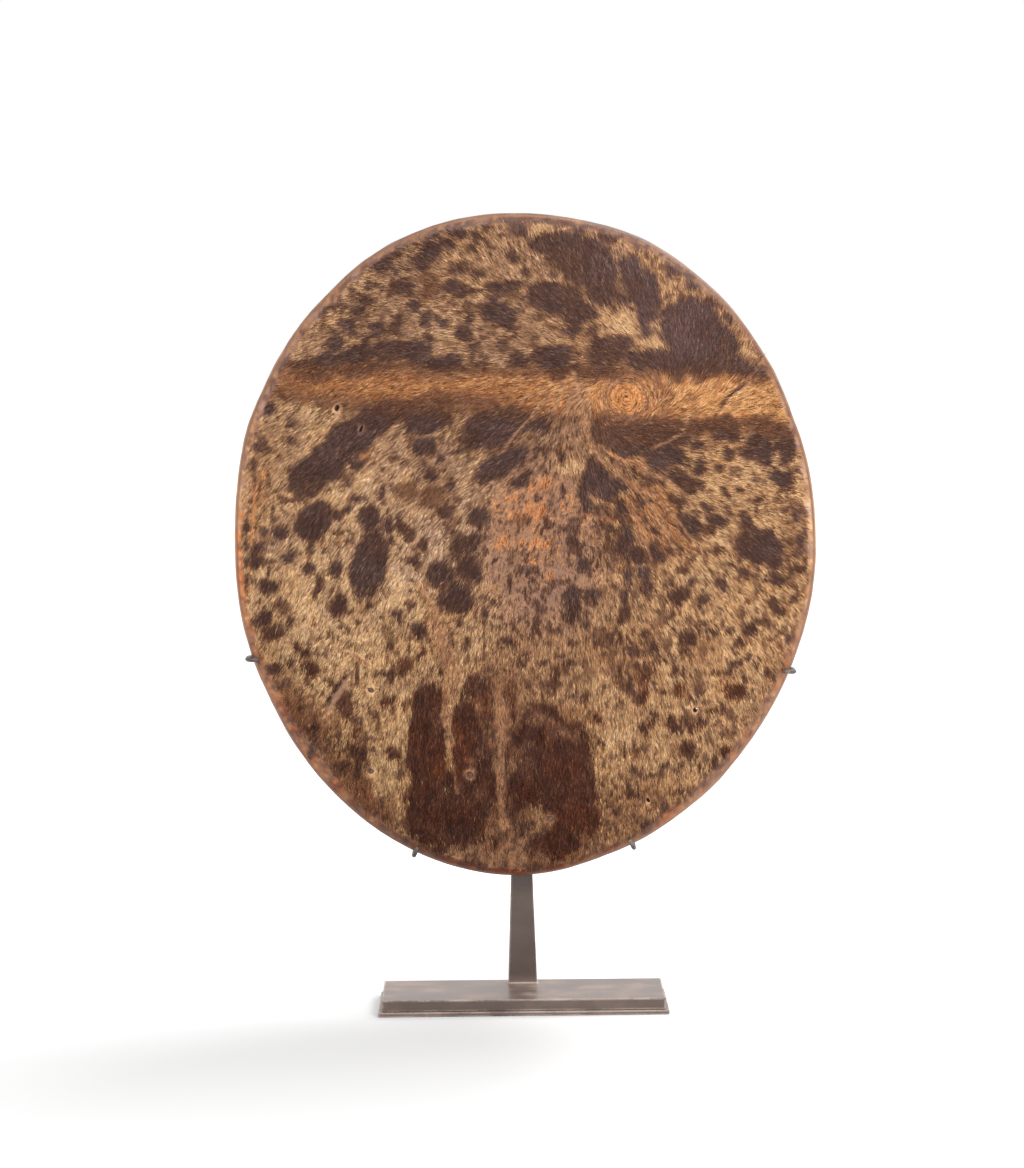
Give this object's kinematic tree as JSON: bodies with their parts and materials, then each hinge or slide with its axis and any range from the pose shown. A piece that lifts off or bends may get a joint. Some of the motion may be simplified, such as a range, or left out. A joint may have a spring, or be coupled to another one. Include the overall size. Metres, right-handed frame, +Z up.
{
  "type": "hide shield on stand",
  "caption": "Domed hide shield with its hair left on and the rim turned back, held upright by bent rods on a tapered steel post with a rectangular foot.",
  "frame": {"origin": "middle of the underside of the foot", "axes": "+Z up, the shield's hairy front faces -Y, +X to the right of someone who looks at the front"},
  "size_m": [0.5048, 0.094, 0.687],
  "materials": {
    "stand_steel": "brown-grey patinated steel, satin, with pale smears and rubbed edges",
    "rod_steel": "dark brown patinated round bar, satin",
    "hide": "short straw and dark brown spotted hair on rawhide, worn bare at the middle and the rim",
    "thong": "dark dry rawhide, cut off short"
  },
  "bodies": {
    "root": {"foot_plate": "stand_steel", "foot_block": "stand_steel", "post": "stand_steel", "side_hook_left": "rod_steel", "side_hook_right": "rod_steel", "lower_hook_left": "rod_steel", "lower_hook_right": "rod_steel", "shield": "hide", "thong_stub_1": "thong", "thong_stub_2": "thong", "thong_stub_3": "thong", "thong_stub_4": "thong"}
  },
  "joints": []
}
